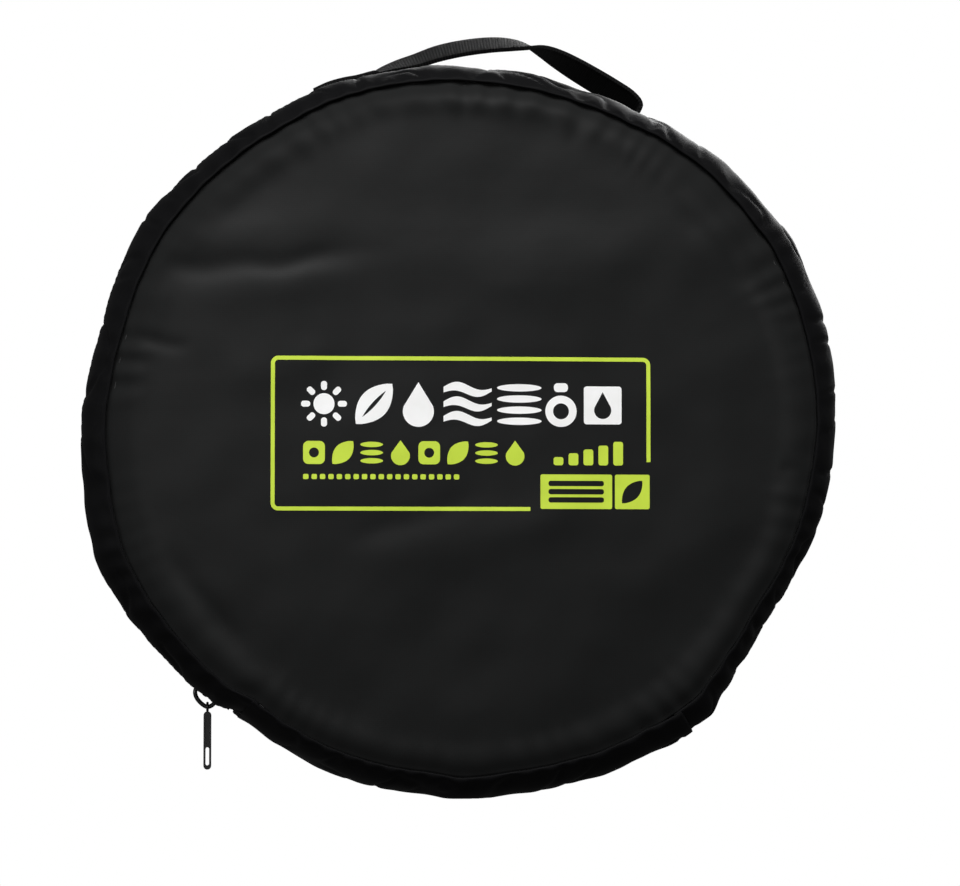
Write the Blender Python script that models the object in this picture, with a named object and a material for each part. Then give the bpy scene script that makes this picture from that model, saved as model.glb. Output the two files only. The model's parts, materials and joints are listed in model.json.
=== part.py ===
"""Round zipped carry bag, standing on its rim, with a six-tier hanging drying net folded inside.

Metres, +Z up. The bag's disc lies in the X-Z plane and its front faces -Y. The origin is under the middle of
the bag, on the surface that it stands on. Angles round the rim are in degrees, anticlockwise from +X as seen
from the front, so 90 is the top. A turn about +Y runs clockwise as seen from the front.
"""

import math

import bmesh
import bpy
from mathutils import Matrix, Vector

# The shell
DEPTH = 0.066                # over the flat middles of the two round panels
SEAM_RADIUS = 0.1475         # where panels and gusset are sewn together
GUSSET_BULGE = 0.0105        # how far the gusset stands out past the seams
PANEL_DOME = 0.0025          # how far a panel's middle stands out past its seam
PANEL_FLAT_RADIUS = 0.100    # inside this a panel is flat
FABRIC = 0.0012
BINDING_RADIUS = 0.0016
BASE_FLAT = 0.0012           # how much of the rim is pressed flat where the bag stands
HINGE_HALF_ANGLE = 36.0      # the gusset's plain lower piece, either side of the lowest point

# The zip
ZIP_VALLEY = 0.0047          # the zip lies this much below the gusset's crest
ZIP_VALLEY_HALF = 0.015
TAPE_HALF_WIDTH = 0.0105
TAPE = 0.0008
COIL_HALF_WIDTH = 0.0030
COIL_HEIGHT = 0.0024
COIL_RISE = 0.0009           # how far the coil stands above the tape's outer face
ZIP_MARGIN = 0.0110          # from the zip's open end to the coils
TAB_LENGTH = 0.0070
STOP_LENGTH = 0.0022
SLIDER_SETBACK = 0.0195      # from the zip's end to the closed slider's middle
SLIDER_LENGTH = 0.0100
SLIDER_WIDTH = 0.0090
SLIDER_PLATE = 0.0010
SLIDER_POST = 0.0019         # the post between the plates, which parts the coils
BAIL_LENGTH = 0.0103
BAIL_HEIGHT = 0.0047
BAIL_WIRE = 0.0013
BAIL_BEND = 0.0017
PULLER_LENGTH = 0.0264       # from the pivot to the free end
PULLER_WIDTH = 0.0033
PULLER_THICKNESS = 0.0020
EYE_THICKNESS = 0.0011
EYE_RADIUS = 0.0022
EYE_CLEARANCE = 0.0005       # between the bail's wire and the puller's eye
PULLER_SLOT = (0.0015, 0.0075)
PULLER_SLOT_END = 0.0018     # from the slot to the free end

# The handle
HANDLE_WIDTH = 0.020
HANDLE_THICKNESS = 0.0020
HANDLE_Y = 0.0170
HANDLE_ANGLES = (98.5, 61.5)
HANDLE_FOOT_LIFT = 0.0034    # of the webbing's middle over the gusset's crest
HANDLE_RISE = 0.0050
HANDLE_SWAY_GAP = 0.0026        # from a foot to its anchor, so the tilted handle's edge passes it
ANCHOR_LENGTH = 0.026
ANCHOR_THICKNESS = 0.0016

# The folded net
TIERS = 6
HOOP_TURNS = 3               # a twisted hoop folds into three smaller coils
HOOP_WIRE_RADIUS = 0.0012
HOOP_BUNDLE_RADIUS = 0.0022  # of the circle that the three strands lie on
HOOP_CLEARANCE = 0.0211      # from the seam's radius to the folded hoop
HOOP_STEPS = 18              # round one turn
TIER_GAP = 0.0005
NET_THICKNESS = 0.0050
HOOK_WIRE_RADIUS = 0.0018
HOOK_BEND_RADIUS = 0.0130
HOOK_SHANK = 0.026
STRAP_LENGTH = 0.110
STRAP_HEIGHT = 0.034
CONTENTS_CLEARANCE = 0.0015

# Between neighbours
GAP = 0.0004
HINGE_GAP = 0.0008           # between the hinge piece and the strips that swing past it

STEP = 6.0                   # degrees of the rim in one facet

SEAM_Y = DEPTH / 2 - PANEL_DOME
CREST_RADIUS = SEAM_RADIUS + GUSSET_BULGE
CENTRE = Vector((0, 0, CREST_RADIUS - BASE_FLAT))
ZIP_RADIUS = CREST_RADIUS - ZIP_VALLEY
ZIP_START = 270.0 - HINGE_HALF_ANGLE
ZIP_SWEEP = 360.0 - 2 * HINGE_HALF_ANGLE
CLOSED_MARGIN = SLIDER_SETBACK - SLIDER_LENGTH / 2 + SLIDER_POST + GAP
COIL_TOP = ZIP_RADIUS - GAP + COIL_RISE


def gusset_radius(y):
    """The gusset's outer face at depth y, where it carries the zip."""
    valley = max(0.0, 1 - (y / ZIP_VALLEY_HALF) ** 2) ** 2
    return hinge_radius(y) - ZIP_VALLEY * valley


def hinge_radius(y):
    """The gusset's outer face at depth y, where it is plain."""
    return SEAM_RADIUS + GUSSET_BULGE * (1 - abs(y / SEAM_Y) ** 4)


def rim_degrees(length, radius=ZIP_RADIUS):
    """The angle that a length along the rim takes up."""
    return math.degrees(length / radius)


def rim_turn(angle):
    """Turns a piece made for the top of the rim, with +X running clockwise, to another angle."""
    return Matrix.Rotation(math.radians(90 - angle), 4, "Y")


def clear_scene():
    for old in list(bpy.data.objects):
        bpy.data.objects.remove(old, do_unlink=True)


def make_material(name, color, roughness, metallic=0.0):
    material = bpy.data.materials.new(name)
    material.use_nodes = True
    shader = material.node_tree.nodes["Principled BSDF"]
    shader.inputs["Base Color"].default_value = (*color, 1)
    shader.inputs["Roughness"].default_value = roughness
    shader.inputs["Metallic"].default_value = metallic
    return material


def own_material(name, look):
    """Each sub-part has its own material, made from one of the shared looks."""
    return make_material(f"{name}_material", *look)


BLACK_FABRIC = ((0.015, 0.015, 0.017), 0.5)
ZIP_TAPE = ((0.010, 0.010, 0.011), 0.8)
COIL_PLASTIC = ((0.012, 0.012, 0.013), 0.35)
WEBBING = ((0.020, 0.020, 0.022), 0.75)
SLIDER_METAL = ((0.06, 0.06, 0.065), 0.35, 0.9)
SPRING_STEEL = ((0.45, 0.45, 0.47), 0.3, 1.0)
NET_FABRIC = ((0.02, 0.02, 0.022), 0.85)


def add_empty(name, location):
    empty = bpy.data.objects.new(name, None)
    empty.location = location
    bpy.context.scene.collection.objects.link(empty)
    return empty


def link_object(name, data, look, parent, location):
    """Adds one sub-part at a place in the world, under the empty on its joint's axis if it moves."""
    thing = bpy.data.objects.new(name, data)
    thing.location = location
    thing.data.materials.append(own_material(name, look))
    bpy.context.scene.collection.objects.link(thing)
    if parent:
        thing.parent = parent
        thing.matrix_parent_inverse = Matrix.Translation(-parent.location)
    return thing


def add_mesh(name, bm, look, parent=None, location=CENTRE, sharp=35):
    bmesh.ops.remove_doubles(bm, verts=bm.verts, dist=1e-7)
    bmesh.ops.recalc_face_normals(bm, faces=bm.faces)
    mesh = bpy.data.meshes.new(name)
    bm.to_mesh(mesh)
    bm.free()
    mesh.shade_smooth()
    mesh.set_sharp_from_angle(angle=math.radians(sharp))
    return link_object(name, mesh, look, parent, location)


def add_cutter(name, bm, target, operation):
    """A helper solid that cuts or joins its target, and isn't a sub-part."""
    mesh = bpy.data.meshes.new(name)
    bmesh.ops.recalc_face_normals(bm, faces=bm.faces)
    bm.to_mesh(mesh)
    bm.free()
    cutter = bpy.data.objects.new(name, mesh)
    bpy.context.scene.collection.objects.link(cutter)
    cutter.parent = target
    cutter.hide_render = True
    cutter.display_type = "WIRE"
    boolean = target.modifiers.new(name, "BOOLEAN")
    boolean.operation = operation
    boolean.solver = "EXACT"
    boolean.object = cutter


def band_section(low_y, high_y, steps, outer, thickness):
    """A closed outline of (y, radius) points across a band of even thickness."""
    ys = [low_y + (high_y - low_y) * i / steps for i in range(steps + 1)]
    return [(y, outer(y)) for y in ys] + [(y, outer(y) - thickness) for y in reversed(ys)]


def box_section(low_y, high_y, low_radius, high_radius):
    return [(low_y, high_radius), (high_y, high_radius), (high_y, low_radius), (low_y, low_radius)]


def swept_arc(section, start, sweep, step=STEP):
    """A closed solid: the section carried clockwise along the rim from an angle."""
    bm = bmesh.new()
    heading = Vector((math.cos(math.radians(start)), 0, math.sin(math.radians(start))))
    outline = [bm.verts.new(heading * radius + Vector((0, y, 0))) for y, radius in section]
    face = bm.faces.new(outline)
    bmesh.ops.spin(
        bm,
        geom=[face, *face.edges, *face.verts],
        cent=(0, 0, 0),
        axis=(0, 1, 0),
        angle=math.radians(sweep),
        steps=max(1, round(sweep / step)),
    )
    return bm


def turned(profile, closed):
    """A full turn about the disc's axis of an outline of (y, radius) points."""
    bm = bmesh.new()
    points = [bm.verts.new((radius, y, 0)) for y, radius in profile]
    edges = [bm.edges.new(pair) for pair in zip(points, points[1:])]
    if closed:
        edges.append(bm.edges.new((points[-1], points[0])))
    bmesh.ops.spin(
        bm,
        geom=points + edges,
        cent=(0, 0, 0),
        axis=(0, 1, 0),
        angle=math.tau,
        steps=round(360 / STEP),
        use_merge=True,
    )
    return bm


def box(size, centre=(0, 0, 0), bevel=0.0):
    bm = bmesh.new()
    bmesh.ops.create_cube(bm, size=1, matrix=Matrix.Translation(centre) @ Matrix.Diagonal((*size, 1)))
    if bevel:
        bmesh.ops.bevel(bm, geom=bm.edges[:], offset=bevel, segments=1, affect="EDGES", profile=0.5, material=-1)
    return bm


def rod(radius, length, axis, centre=(0, 0, 0), segments=16):
    bm = bmesh.new()
    turn = Vector((0, 0, 1)).rotation_difference(Vector(axis)).to_matrix().to_4x4()
    bmesh.ops.create_cone(
        bm,
        cap_ends=True,
        segments=segments,
        radius1=radius,
        radius2=radius,
        depth=length,
        matrix=Matrix.Translation(centre) @ turn,
    )
    return bm


def panel_profile(side):
    """Half of a round panel's section: flat in the middle and easing back to the seam at its edge."""
    edge = SEAM_RADIUS - BINDING_RADIUS - GAP
    radii = [0, PANEL_FLAT_RADIUS] + [PANEL_FLAT_RADIUS + (edge - PANEL_FLAT_RADIUS) * i / 3 for i in (1, 2, 3)]
    outer = []
    for radius in radii:
        fall = max(0.0, (radius - PANEL_FLAT_RADIUS) / (edge - PANEL_FLAT_RADIUS))
        outer.append((DEPTH / 2 - PANEL_DOME * fall**2, radius))
    inner = [(y - FABRIC, radius) for y, radius in reversed(outer)]
    return [(side * y, radius) for y, radius in outer + inner]


def make_panel(name, side, parent=None):
    add_mesh(name, turned(panel_profile(side), closed=False), BLACK_FABRIC, parent)


def make_binding(name, side, parent=None):
    corners = [math.tau * i / 6 for i in range(6)]
    ring = [
        (side * SEAM_Y + BINDING_RADIUS * math.sin(a), SEAM_RADIUS + BINDING_RADIUS * math.cos(a))
        for a in corners
    ]
    add_mesh(name, turned(ring, closed=True), BLACK_FABRIC, parent, sharp=70)


def strip_depths(side):
    """Where a gusset strip starts and ends, from beside the binding to the zip's tape."""
    ends = (side * (SEAM_Y - BINDING_RADIUS - GAP), side * (TAPE_HALF_WIDTH + GAP))
    return min(ends), max(ends)


def make_gusset_strip(name, side, parent=None):
    section = band_section(*strip_depths(side), 4, gusset_radius, FABRIC)
    add_mesh(name, swept_arc(section, ZIP_START, ZIP_SWEEP), BLACK_FABRIC, parent)


def make_hinge_panel():
    """The plain lower gusset piece, from seam to seam, pressed flat where the bag stands on it."""
    reach = SEAM_Y - BINDING_RADIUS - GAP
    gap = rim_degrees(HINGE_GAP)
    section = band_section(-reach, reach, 8, hinge_radius, FABRIC)
    bm = swept_arc(section, 270 + HINGE_HALF_ANGLE - gap, 2 * (HINGE_HALF_ANGLE - gap))
    floor = -CENTRE.z
    for vert in bm.verts:
        across = math.hypot(vert.co.x, vert.co.z)
        inner = across < hinge_radius(vert.co.y) - FABRIC / 2
        vert.co.z = max(vert.co.z, floor + FABRIC if inner else floor)
    add_mesh("gusset_hinge_panel", bm, BLACK_FABRIC)


def make_tape(name, side, parent=None):
    ends = sorted((side * TAPE_HALF_WIDTH, side * (COIL_HALF_WIDTH + GAP)))
    section = band_section(*ends, 2, lambda y: gusset_radius(y) - GAP, TAPE)
    add_mesh(name, swept_arc(section, ZIP_START, ZIP_SWEEP), ZIP_TAPE, parent)


def make_coil(name, side, parent=None):
    """One side's row of zip coil, as a plain ridge."""
    ends = sorted((side * COIL_HALF_WIDTH, side * GAP / 2))
    section = box_section(*ends, COIL_TOP - COIL_HEIGHT, COIL_TOP)
    start = ZIP_START - rim_degrees(CLOSED_MARGIN)
    sweep = ZIP_SWEEP - rim_degrees(CLOSED_MARGIN) - rim_degrees(ZIP_MARGIN)
    add_mesh(name, swept_arc(section, start, sweep), COIL_PLASTIC, parent)


def make_zip_end(side_name, angle, inward):
    """A fabric tab folded over the zip's end, and a stop between it and the coils."""
    tab = rim_degrees(TAB_LENGTH)
    stop = rim_degrees(STOP_LENGTH)
    edge = rim_degrees(HINGE_GAP)
    gap = rim_degrees(GAP)
    base = ZIP_RADIUS + COIL_RISE
    across = COIL_HALF_WIDTH
    tab_start = angle - edge if inward > 0 else angle + edge + tab
    tab_section = box_section(-across, across, base - FABRIC - COIL_HEIGHT / 2, base)
    add_mesh(f"zip_end_tab_{side_name}", swept_arc(tab_section, tab_start, tab), BLACK_FABRIC)
    stop_start = tab_start - tab - gap if inward > 0 else tab_start + gap + stop
    stop_section = box_section(GAP, across, base - COIL_HEIGHT, base)
    add_mesh(f"zip_stop_{side_name}", swept_arc(stop_section, stop_start, stop), SLIDER_METAL)


def slider_angle():
    return ZIP_START - rim_degrees(SLIDER_SETBACK)


def make_slider(parent):
    """Two plates round the coils, joined by a post just past the closed coils' end."""
    outer = COIL_TOP + GAP
    inner = COIL_TOP - COIL_HEIGHT - GAP
    plate = (SLIDER_LENGTH, SLIDER_WIDTH, SLIDER_PLATE)
    slider = add_mesh("slider_body", box(plate, (0, 0, outer + SLIDER_PLATE / 2)), SLIDER_METAL, parent)
    slider.rotation_euler = rim_turn(slider_angle()).to_euler()
    lower = box(plate, (0, 0, inner - SLIDER_PLATE / 2))
    add_cutter("slider_lower_plate", lower, slider, "UNION")
    post_high = outer + SLIDER_PLATE / 2
    post_low = inner - SLIDER_PLATE / 2
    post_size = (SLIDER_POST, COIL_HALF_WIDTH - 3 * GAP, post_high - post_low)
    post_x = -(SLIDER_LENGTH - SLIDER_POST) / 2
    post = box(post_size, (post_x, -GAP - post_size[1] / 2, (post_high + post_low) / 2))
    add_cutter("slider_post", post, slider, "UNION")


def bail_path():
    """The bail's wire, from foot to foot, along the zip and away from the plate."""
    foot = COIL_TOP + GAP + SLIDER_PLATE + GAP
    run = foot + BAIL_HEIGHT - BAIL_WIRE / 2 - GAP
    reach = (BAIL_LENGTH - BAIL_WIRE) / 2
    bend = [math.radians(15 * i) for i in range(7)]
    left = [
        Vector((-reach + BAIL_BEND * (1 - math.cos(a)), 0, run - BAIL_BEND * (1 - math.sin(a)))) for a in bend
    ]
    right = [Vector((-point.x, 0, point.z)) for point in reversed(left)]
    return [Vector((-reach, 0, foot)), *left, *right, Vector((reach, 0, foot))]


def pivot_point():
    """Where the puller's eye hangs: the lowest point of the bail's wire when the zip is closed."""
    turn = rim_turn(slider_angle()).to_3x3()
    run = COIL_TOP + GAP + SLIDER_PLATE + BAIL_HEIGHT - BAIL_WIRE / 2
    reach = (BAIL_LENGTH - BAIL_WIRE) / 2
    bend_centre = turn @ Vector((-reach + BAIL_BEND, 0, run - BAIL_BEND))
    return CENTRE + bend_centre - Vector((0, 0, BAIL_BEND))


def make_wire(name, points, radius, look, parent=None, location=CENTRE, cyclic=False, sides=1):
    """A round wire through points, as a curve with filled ends."""
    curve = bpy.data.curves.new(name, "CURVE")
    curve.dimensions = "3D"
    curve.bevel_depth = radius
    curve.bevel_resolution = sides
    curve.use_fill_caps = not cyclic
    spline = curve.splines.new("POLY")
    spline.points.add(len(points) - 1)
    for knot, point in zip(spline.points, points):
        knot.co = (*point, 1)
    spline.use_cyclic_u = cyclic
    return link_object(name, curve, look, parent, location)


def make_bail(parent):
    bail = make_wire("slider_bail", bail_path(), BAIL_WIRE / 2, SLIDER_METAL, parent, sides=2)
    bail.rotation_euler = rim_turn(slider_angle()).to_euler()


def make_puller(parent):
    """A flat bar with a slot near its free end, hung on the bail by a thin eye."""
    top = -EYE_RADIUS + 0.0006
    length = PULLER_LENGTH + top
    size = (PULLER_WIDTH, PULLER_THICKNESS, length)
    bar = box(size, (0, 0, top - length / 2), bevel=0.0004)
    puller = add_mesh("zip_puller", bar, SLIDER_METAL, parent, location=pivot_point())
    add_cutter("puller_eye", rod(EYE_RADIUS, EYE_THICKNESS, (1, 0, 0)), puller, "UNION")
    hole = rod(BAIL_WIRE / 2 + EYE_CLEARANCE, 4 * EYE_THICKNESS, (1, 0, 0))
    add_cutter("puller_eye_hole", hole, puller, "DIFFERENCE")
    width, height = PULLER_SLOT
    slot_middle = -PULLER_LENGTH + PULLER_SLOT_END + height / 2
    slot = box((width, 3 * PULLER_THICKNESS, height), (0, 0, slot_middle))
    add_cutter("puller_slot", slot, puller, "DIFFERENCE")


def handle_point(share):
    """The webbing's middle, a share of the way from its left foot to its right one."""
    left, right = HANDLE_ANGLES
    angle = math.radians(left + (right - left) * share)
    radius = CREST_RADIUS + HANDLE_FOOT_LIFT + HANDLE_RISE * math.sin(math.pi * share)
    return Vector((radius * math.cos(angle), HANDLE_Y, radius * math.sin(angle)))


def make_handle(parent):
    """A band of webbing that arches from foot to foot over the rim's back half."""
    steps = 14
    bm = bmesh.new()
    path = [bm.verts.new(handle_point(i / steps) - Vector((0, HANDLE_WIDTH / 2, 0))) for i in range(steps + 1)]
    edges = [bm.edges.new(pair) for pair in zip(path, path[1:])]
    band = bmesh.ops.extrude_edge_only(bm, edges=edges)["geom"]
    moved = [part for part in band if isinstance(part, bmesh.types.BMVert)]
    bmesh.ops.translate(bm, verts=moved, vec=(0, HANDLE_WIDTH, 0))
    bmesh.ops.recalc_face_normals(bm, faces=bm.faces)
    outward = sum((face.normal.z for face in bm.faces)) > 0
    if not outward:
        bmesh.ops.reverse_faces(bm, faces=bm.faces)
    for vert in bm.verts:
        vert.co += vert.co.normalized() * HANDLE_THICKNESS / 2
    bmesh.ops.solidify(bm, geom=bm.faces[:], thickness=HANDLE_THICKNESS)
    add_mesh("handle_webbing", bm, WEBBING, parent)


def make_anchor(side_name, angle):
    """The webbing's end, sewn flat on the gusset beyond the handle's foot."""
    low, high = HANDLE_Y - HANDLE_WIDTH / 2, HANDLE_Y + HANDLE_WIDTH / 2

    def outer(y):
        return gusset_radius(y) + GAP + ANCHOR_THICKNESS

    section = band_section(low, high, 8, outer, ANCHOR_THICKNESS)
    length = rim_degrees(ANCHOR_LENGTH, CREST_RADIUS)
    gap = rim_degrees(HANDLE_SWAY_GAP, CREST_RADIUS)
    start = angle + gap + length if side_name == "left" else angle - gap
    add_mesh(f"handle_anchor_{side_name}", swept_arc(section, start, length, STEP / 4), WEBBING)


def hoop_radius():
    return SEAM_RADIUS - HOOP_CLEARANCE - HOOP_BUNDLE_RADIUS - HOOP_WIRE_RADIUS


def tier_depth(index):
    """The middle of a folded tier, counted from the back panel."""
    bundle = 2 * (HOOP_BUNDLE_RADIUS + HOOP_WIRE_RADIUS)
    back = SEAM_Y - FABRIC - GAP
    return back - bundle / 2 - index * (bundle + TIER_GAP)


def make_tier(index):
    """One tier: a spring hoop twisted into coils that lie side by side, with its net folded inside."""
    depth = tier_depth(index)
    points = []
    for i in range(HOOP_TURNS * HOOP_STEPS):
        turn = math.tau * i / HOOP_STEPS
        lie = turn / HOOP_TURNS
        radius = hoop_radius() + HOOP_BUNDLE_RADIUS * math.cos(lie)
        y = depth + HOOP_BUNDLE_RADIUS * math.sin(lie)
        points.append(Vector((radius * math.cos(turn), y, radius * math.sin(turn))))
    make_wire(f"tier_{index + 1}_hoop", points, HOOP_WIRE_RADIUS, SPRING_STEEL, cyclic=True)
    inside = hoop_radius() - HOOP_BUNDLE_RADIUS - HOOP_WIRE_RADIUS
    net_radius = inside * math.cos(math.pi / HOOP_STEPS) - GAP
    net = rod(net_radius, NET_THICKNESS, (0, 1, 0), (0, depth, 0), segments=2 * HOOP_STEPS)
    add_mesh(f"tier_{index + 1}_net", net, NET_FABRIC)


def front_room():
    """The depths between which the straps and the hook lie, in front of the folded tiers."""
    last = tier_depth(TIERS - 1) - HOOP_BUNDLE_RADIUS - HOOP_WIRE_RADIUS
    return -DEPTH / 2 + FABRIC + CONTENTS_CLEARANCE, last - CONTENTS_CLEARANCE


def make_straps_and_hook():
    """The hanging straps, folded into one flat bundle, and the hook above them."""
    low, high = front_room()
    middle = (low + high) / 2
    thickness = min(high - low, 0.009)
    bundle = box((STRAP_LENGTH, thickness, STRAP_HEIGHT), (0, middle, -STRAP_HEIGHT), bevel=thickness / 4)
    add_mesh("strap_bundle", bundle, WEBBING)
    base = -1.5 * STRAP_HEIGHT - CONTENTS_CLEARANCE - HOOK_WIRE_RADIUS
    shank = [Vector((-HOOK_SHANK * i / 3, middle, base)) for i in range(4)]
    bend = []
    for i in range(1, 13):
        a = math.radians(15 * i)
        bend.append(
            Vector(
                (
                    -HOOK_SHANK - HOOK_BEND_RADIUS * math.sin(a),
                    middle,
                    base - HOOK_BEND_RADIUS * (1 - math.cos(a)),
                )
            )
        )
    make_wire("hanging_hook", shank + bend, HOOK_WIRE_RADIUS, SPRING_STEEL, sides=2)


def main():
    clear_scene()
    lid_axis = Vector((0, -SEAM_Y + BINDING_RADIUS + GAP / 2, CENTRE.z - SEAM_RADIUS - BINDING_RADIUS))
    lid = add_empty("lid_open_axis", lid_axis)
    slider = add_empty("zip_travel_axis", CENTRE)
    handle = add_empty("handle_fold_axis", CENTRE + handle_point(0))

    make_panel("back_panel", 1)
    make_binding("back_binding", 1)
    make_gusset_strip("gusset_back_strip", 1)
    make_hinge_panel()
    make_tape("zip_tape_back", 1)
    make_coil("zip_coil_back", 1)
    make_zip_end("left", ZIP_START, 1)
    make_zip_end("right", ZIP_START - ZIP_SWEEP, -1)
    make_anchor("left", HANDLE_ANGLES[0])
    make_anchor("right", HANDLE_ANGLES[1])
    for index in range(TIERS):
        make_tier(index)
    make_straps_and_hook()

    make_panel("front_panel", -1, lid)
    make_binding("front_binding", -1, lid)
    make_gusset_strip("gusset_front_strip", -1, lid)
    make_tape("zip_tape_front", -1, lid)
    make_coil("zip_coil_front", -1, lid)

    make_slider(slider)
    make_bail(slider)
    make_puller(slider)
    make_handle(handle)


main()
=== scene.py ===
import json
import math

import bmesh
import bpy
from mathutils import Matrix, Vector, noise
from mathutils.bvhtree import BVHTree


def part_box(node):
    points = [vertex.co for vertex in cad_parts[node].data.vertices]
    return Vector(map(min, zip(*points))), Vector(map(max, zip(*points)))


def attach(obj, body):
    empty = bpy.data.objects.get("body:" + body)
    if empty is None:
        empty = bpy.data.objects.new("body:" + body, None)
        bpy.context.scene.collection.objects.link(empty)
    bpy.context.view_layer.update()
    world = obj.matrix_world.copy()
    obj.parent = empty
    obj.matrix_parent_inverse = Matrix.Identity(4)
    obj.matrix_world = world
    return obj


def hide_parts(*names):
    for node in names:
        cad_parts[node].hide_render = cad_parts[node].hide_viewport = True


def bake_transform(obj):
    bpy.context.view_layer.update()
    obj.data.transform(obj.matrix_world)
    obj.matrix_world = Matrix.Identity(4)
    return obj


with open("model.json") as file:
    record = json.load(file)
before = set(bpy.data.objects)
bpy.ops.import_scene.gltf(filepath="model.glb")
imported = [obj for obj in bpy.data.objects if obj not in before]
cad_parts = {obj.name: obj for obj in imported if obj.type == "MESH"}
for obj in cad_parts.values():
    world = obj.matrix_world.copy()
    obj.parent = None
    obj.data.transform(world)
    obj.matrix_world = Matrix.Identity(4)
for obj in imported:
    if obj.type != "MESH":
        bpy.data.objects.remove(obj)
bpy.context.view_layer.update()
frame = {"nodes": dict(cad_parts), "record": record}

# A round zipped carry bag standing on its rim, with a tiered drying net folded inside it.
# Angles round the rim are in degrees, anticlockwise from +X as seen from the front. Sizes are in metres.

mm = 0.001

bag = {
    "bindingRadius": 1.6 * mm,
    "gussetBulge": 10.5 * mm,
    "zipLevel": -4.7 * mm,       # the zip's coils against the gusset's crest
    "valleyHalf": 14.5 * mm,
    "tapeHalf": 10.5 * mm,
    "coilHalf": 3.0 * mm,
    "wall": 0.9 * mm,
    "hingeHalfAngle": 36.0,
    "sliderAngle": 226.7,
    "seamFollows": 0.62,       # the seam's share of the rim's lumps
    "zipFollows": 0.45,        # the zip's share of the rim's hollows
}

panelLow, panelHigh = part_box("front_panel")
bindingLow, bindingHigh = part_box("front_binding")
centreZ = (panelLow[2] + panelHigh[2]) / 2
seamRadius = (bindingHigh[0] - bindingLow[0]) / 2 - bag["bindingRadius"]
seamDepth = -(bindingLow[1] + bindingHigh[1]) / 2
crestRadius = seamRadius + bag["gussetBulge"]
zipRadius = crestRadius + bag["zipLevel"]
bottom = 270  # degrees, where the bag stands
zipStart = bottom - bag["hingeHalfAngle"]
zipSweep = 360 - 2 * bag["hingeHalfAngle"]

# How far the soft rim stands out past a true circle, in mm, at angles chosen round it
rimLumps = [
    (0, 2.8), (12, 3.2), (24, 4.0), (30, 4.6), (36, 2.6), (45, 1.4), (54, -1.2), (62, -4.6),
    (72, -6.0), (84, -6.2), (96, -4.8), (106, -3.6), (112, -3.0), (121, -3.6), (130, -2.4), (139, -0.8),
    (148, 0.6), (156, -0.2), (164, -1.2), (172, -0.2), (180, 1.9), (188, 2.2), (196, 4.1), (201, 5.2),
    (209, 3.6), (214, 1.7), (221, -0.2), (228, -1.6), (233, -5.8), (240, -3.6), (248, -2.3), (258, -2.1),
    (264, -2.2), (270, 0.4), (278, -1.0), (287, -0.1), (293, 1.7), (300, 2.2), (305, 3.8), (311, 4.2),
    (315, 1.0), (320, -1.7), (328, -4.2), (336, -2.0), (342, -0.4), (349, 0.4), (355, 1.5),
]


def smoothStep(low, high, value):
    t = min(1.0, max(0.0, (value - low) / (high - low)))
    return t * t * (3 - 2 * t)


def crestLump(angle):
    angle %= 360
    for (a, low), (b, high) in zip(rimLumps, rimLumps[1:] + [(360, rimLumps[0][1])]):
        if a <= angle <= b:
            return mm * (low + (high - low) * smoothStep(a, b, angle))


def angleGap(a, b):
    return abs((a - b + 180) % 360 - 180)


def seamAt(angle):
    return seamRadius + bag["seamFollows"] * crestLump(angle)


def zipAt(angle):
    # the slider's own stretch stays on a true circle
    nearSlider = 1 - smoothStep(4, 16, angleGap(angle, bag["sliderAngle"]))
    return zipRadius + min(0, bag["zipFollows"] * crestLump(angle)) * (1 - nearSlider)


def bumps(a, b, c, seed):
    return noise.noise(Vector((a, b, c + 31.7 * seed)))


gusset = {
    "steps": 620,
    "across": 22,
    "puckers": 84,             # round the seam
    "puckerHeight": 0.7 * mm,
    "puckerReach": 7 * mm,
    "puckerWander": 8,
    "creaseDepth": 1.0 * mm,
    "creaseWidth": 0.16,       # of the noise's swing
    "lumpHeight": 1.2 * mm,
    "lift": 0.5 * mm,          # the strips' outer face above the padded shape
    "foldIn": 0.49 * mm,       # the cloth's edge turns under beside the zip
    "stitchInset": 2.0 * mm,
    "backSeed": 8,
    "frontSeed": 7,
    "hingeSeed": 5,
    "hingeSteps": 170,
    "hingeOverlap": 1.3,       # degrees that the hinge piece laps over each strip's end
    "hingeEase": 7,            # degrees over which it rises onto the strip
    "floor": 0.25 * mm,
}


def crease(x, z, y, seed):
    # thin valleys where a smooth noise crosses nought, so creases wander and fork
    n = bumps(x / 0.019 + y / 0.05, z / 0.019, y / 0.026, seed)
    return -max(0.0, 1 - abs(n) / gusset["creaseWidth"]) ** 2


def gussetAt(angle, y, hasZip, seed):
    # the gusset's outer face: puffed between its seams, with the zip in a valley along its middle
    s = min(1.0, abs(y) / seamDepth)
    seam = seamAt(angle)
    crest = crestRadius + crestLump(angle)
    radius = seam + (crest - seam) * (1 - s ** 3.6)
    a = math.radians(angle)
    x, z = crestRadius * math.cos(a), crestRadius * math.sin(a)
    fromSeam = (1 - s) * seamDepth
    wander = gusset["puckerWander"] * bumps(x / 0.045, z / 0.045, 0, seed)
    puckers = math.exp(-fromSeam / gusset["puckerReach"]) * math.sin(gusset["puckers"] * a + wander)
    valley = 0.0
    if hasZip:
        valley = max(0.0, 1 - (y / bag["valleyHalf"]) ** 2) ** 2
    free = smoothStep(0, 5 * mm, fromSeam) * (1 - valley)
    radius += gusset["puckerHeight"] * puckers * smoothStep(0, 2.5 * mm, fromSeam)
    radius += free * gusset["creaseDepth"] * crease(x, z, y, seed)
    radius += free * gusset["lumpHeight"] * bumps(x / 0.022, z / 0.022, y / 0.03 + 4.1, seed)
    if hasZip:
        radius = radius * (1 - valley) + (zipAt(angle) + 0.2 * mm) * valley
    return radius


def rimPoint(angle, y, radius):
    a = math.radians(angle)
    return Vector((radius * math.cos(a), y, centreZ + radius * math.sin(a)))


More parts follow.
